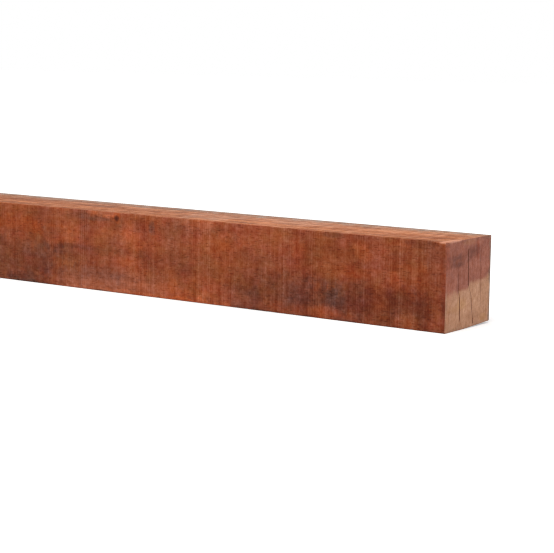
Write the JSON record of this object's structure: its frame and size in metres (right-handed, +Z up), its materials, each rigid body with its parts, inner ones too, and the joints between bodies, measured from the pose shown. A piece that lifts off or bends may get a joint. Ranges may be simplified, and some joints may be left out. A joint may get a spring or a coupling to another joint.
{
  "type": "pointed hardwood post",
  "caption": "Square sawn hardwood post with a flat cut head and a long four-sided sawn point with a blunt nose, for driving into the ground.",
  "frame": {"origin": "middle of the box's underside: half way along the post, on the long face that it lies on", "axes": "+X along the post from the point to the square head; +Z up from the long face it lies on; +Y across it"},
  "size_m": [1, 0.07, 0.07],
  "materials": {
    "sawn_hardwood": "matte"
  },
  "bodies": {
    "root": {"post": "sawn_hardwood"}
  },
  "joints": []
}
